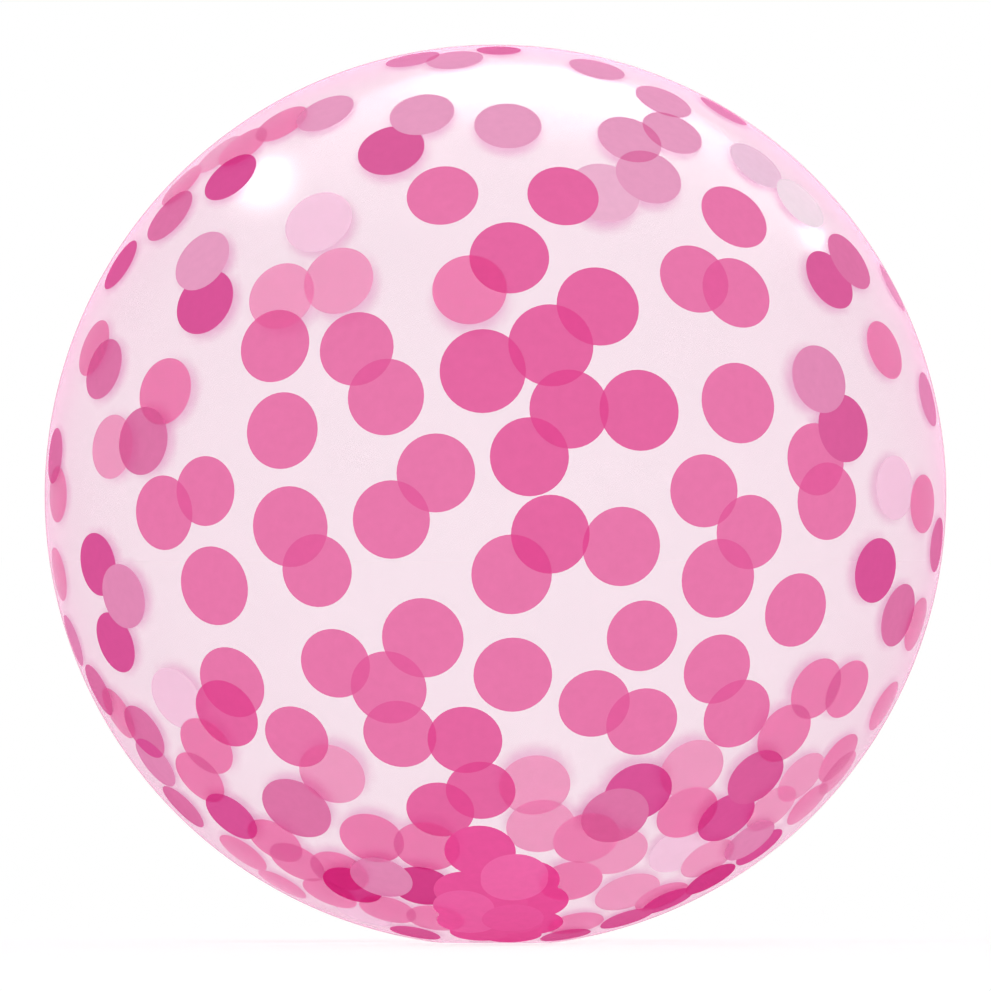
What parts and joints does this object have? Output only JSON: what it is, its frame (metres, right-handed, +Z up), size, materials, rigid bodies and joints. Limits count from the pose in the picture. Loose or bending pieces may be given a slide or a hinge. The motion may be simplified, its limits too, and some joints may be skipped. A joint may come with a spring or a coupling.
{
  "type": "clear bubble balloon",
  "caption": "Round clear film balloon with a scattered print of pink dots, a weld round its edge and a flat filling tail, resting on a small flat spot.",
  "frame": {"origin": "on the floor, under the middle of the ball, at the centre of the flat spot that it rests on", "axes": "+Z up; -Y out through the middle of the front panel, +Y through the back panel, the way the tail lies; the weld is in the XZ plane"},
  "size_m": [0.5612, 0.56, 0.559],
  "materials": {
    "clear_film": "clear glossy plastic film with a faint pink cast",
    "pink_print": "see-through pink ink printed on the film"
  },
  "bodies": {
    "root": {"balloon": "clear_film"}
  },
  "joints": []
}
